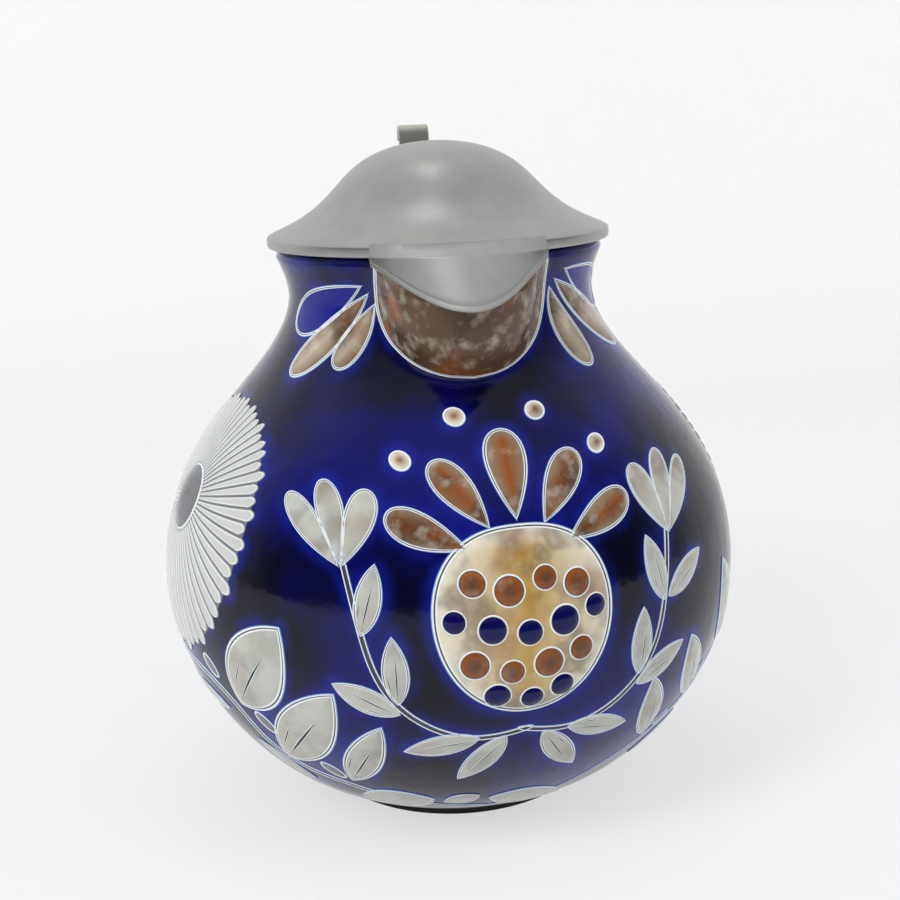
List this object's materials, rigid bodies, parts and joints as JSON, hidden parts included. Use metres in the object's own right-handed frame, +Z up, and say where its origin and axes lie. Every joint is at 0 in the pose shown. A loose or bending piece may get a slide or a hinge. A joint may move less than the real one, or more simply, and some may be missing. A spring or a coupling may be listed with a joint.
{
  "type": "lidded pottery jug",
  "caption": "Squat stoneware pouring jug with a front spout, a strap handle and a hinged pewter lid with a spout cover and a thumb lift.",
  "frame": {"origin": "centre of the foot ring's underside, on the surface that the jug stands on", "axes": "+Z up along the pot's turning axis, -Y towards the spout, +Y towards the handle and the hinge, +X to the pourer's side"},
  "size_m": [0.1802, 0.2036, 0.207],
  "materials": {
    "stoneware": "glossy cobalt glaze with carved and coloured decoration",
    "pewter": "satin pewter with fine scratches",
    "steel": "dull wire pin"
  },
  "bodies": {
    "jug": {"jug_body": "stoneware", "pouring_spout": "stoneware", "handle": "stoneware", "handle_band": "pewter", "band_clasp": "pewter", "clasp_rivets": "pewter", "hinge_bracket": "pewter", "hinge_pin": "steel"},
    "lid": {"lid_shell": "pewter", "spout_cover": "pewter", "lid_tang": "pewter", "thumb_lift": "pewter"}
  },
  "joints": [
    {"name": "lid_hinge", "type": "hinge", "parent": "jug", "child": "lid", "pos_m": [0, 0.0624, 0.1766], "axis": [-1, 0, 0], "range_deg": [0, 95]}
  ]
}
